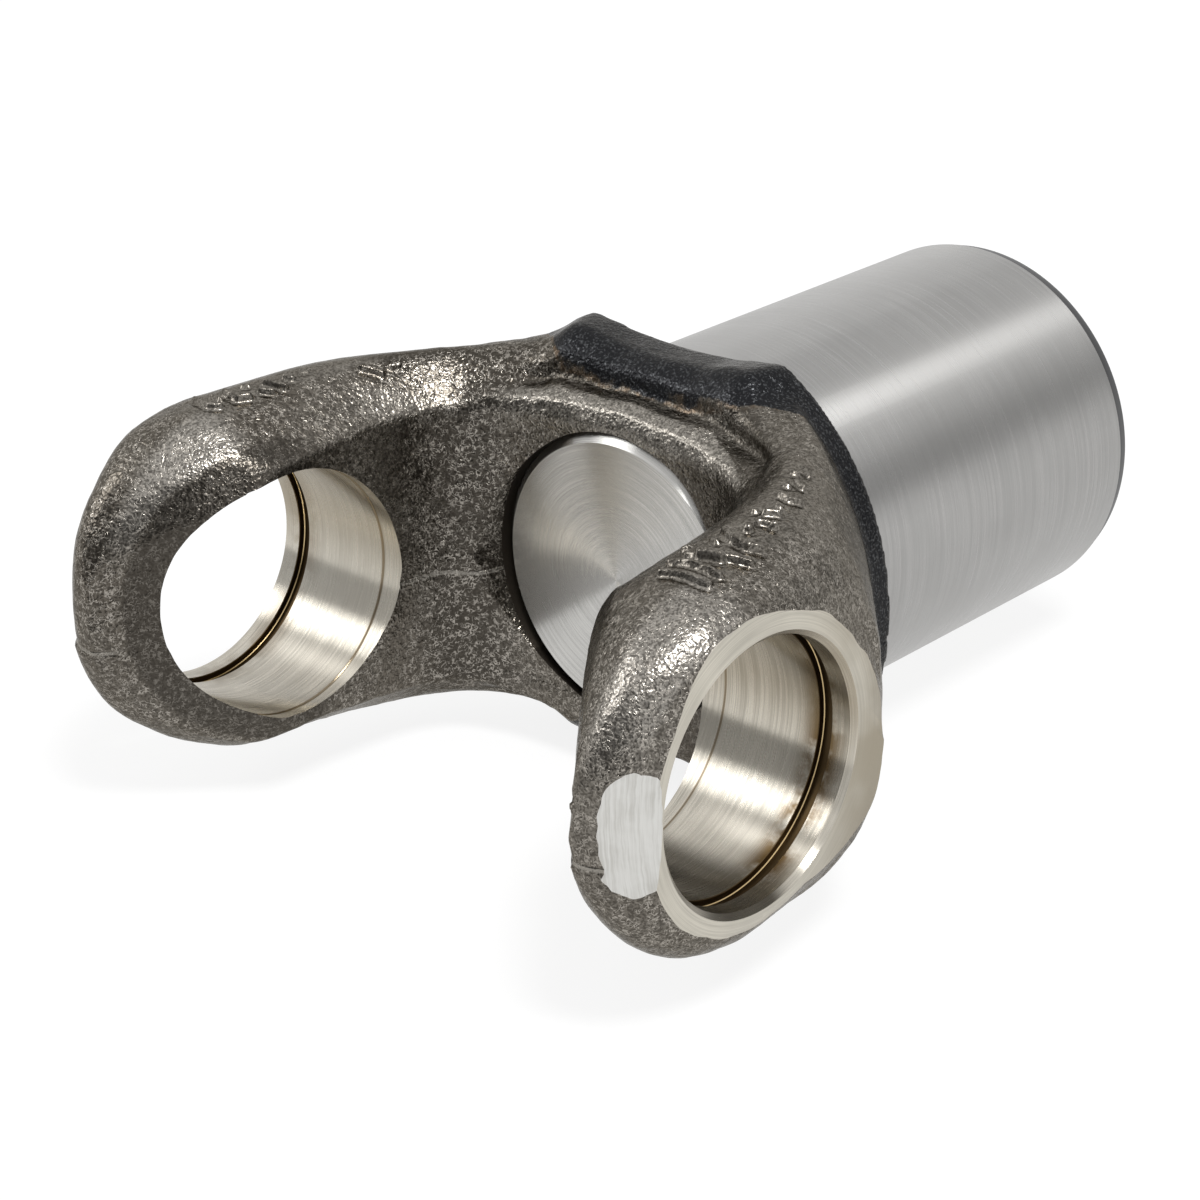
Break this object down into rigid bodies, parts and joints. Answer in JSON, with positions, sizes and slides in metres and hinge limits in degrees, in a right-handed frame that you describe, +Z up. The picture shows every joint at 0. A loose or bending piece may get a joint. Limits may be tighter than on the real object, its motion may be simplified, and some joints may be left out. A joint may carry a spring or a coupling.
{
  "type": "forged yoke",
  "caption": "Forged sleeve yoke of a heavy universal joint: two bored ears on a saddle, with a ground hub, a splined bore and a pressed-in end plug.",
  "frame": {"origin": "joint centre, where the axis of the two trunnion bores crosses the axis of the hub", "axes": "+X along the trunnion bores, +Y along the hub towards its open end, +Z up as the yoke lies on its side"},
  "size_m": [0.17, 0.2279, 0.1002],
  "materials": {
    "forged_steel": "dark forged skin with a grainy sparkle, machined steel at the bores, ear faces and hub",
    "turned_steel": "bright turned steel with fine circular tool marks"
  },
  "bodies": {
    "root": {"yoke": "forged_steel", "end_plug": "turned_steel"}
  },
  "joints": []
}
